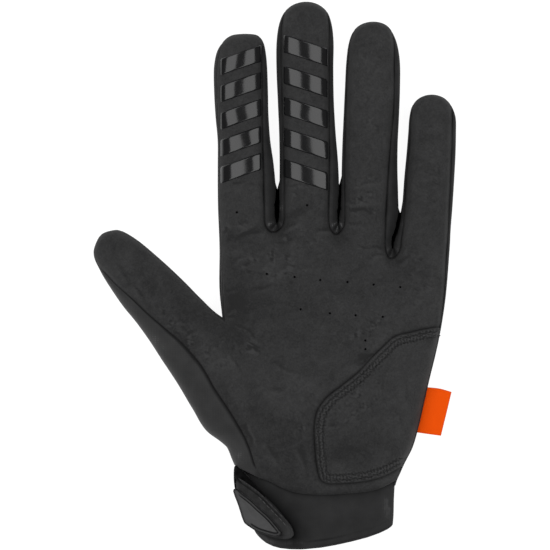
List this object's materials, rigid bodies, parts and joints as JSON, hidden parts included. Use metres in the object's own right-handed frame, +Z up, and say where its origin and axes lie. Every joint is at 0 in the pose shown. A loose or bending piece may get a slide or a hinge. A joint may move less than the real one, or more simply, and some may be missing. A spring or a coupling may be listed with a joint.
{
  "type": "sports glove",
  "caption": "Left-hand full-finger riding glove, palm up, with a suede palm, heel pad, short cuff, wrist strap, rubber pull tab and side tag.",
  "frame": {"origin": "centre of the bounding box in X and Y, on the flat back that the glove rests on", "axes": "+Y from the wrist to the fingertips, +X from the thumb's side to the little finger's side, +Z up out of the palm"},
  "size_m": [0.1506, 0.2272, 0.0286],
  "materials": {
    "palm_suede": "brushed synthetic suede",
    "back_knit": "smooth stretch knit with a soft sheen",
    "side_knit": "matt stretch knit",
    "cuff_neoprene": "matt foam-backed knit",
    "strap_cloth": "matt brushed loop cloth",
    "tab_rubber": "smooth moulded rubber",
    "grip_silicone": "glossy silicone print",
    "tag_weave": "satin woven label, bare"
  },
  "bodies": {
    "root": {"palm_panel": "palm_suede", "back_panel": "back_knit", "thumb_outer_panel": "back_knit", "thumb_inner_side": "side_knit", "index_outer_side": "side_knit", "fourchette_index_middle": "side_knit", "fourchette_middle_ring": "side_knit", "fourchette_ring_little": "side_knit", "little_outer_side": "side_knit", "palm_heel_pad": "palm_suede", "cuff": "cuff_neoprene", "closure_strap": "strap_cloth", "strap_pull_tab": "tab_rubber", "side_tag": "tag_weave", "grip_index_1": "grip_silicone", "grip_index_2": "grip_silicone", "grip_index_3": "grip_silicone", "grip_index_4": "grip_silicone", "grip_index_5": "grip_silicone", "grip_middle_1": "grip_silicone", "grip_middle_2": "grip_silicone", "grip_middle_3": "grip_silicone", "grip_middle_4": "grip_silicone", "grip_middle_5": "grip_silicone"}
  },
  "joints": []
}
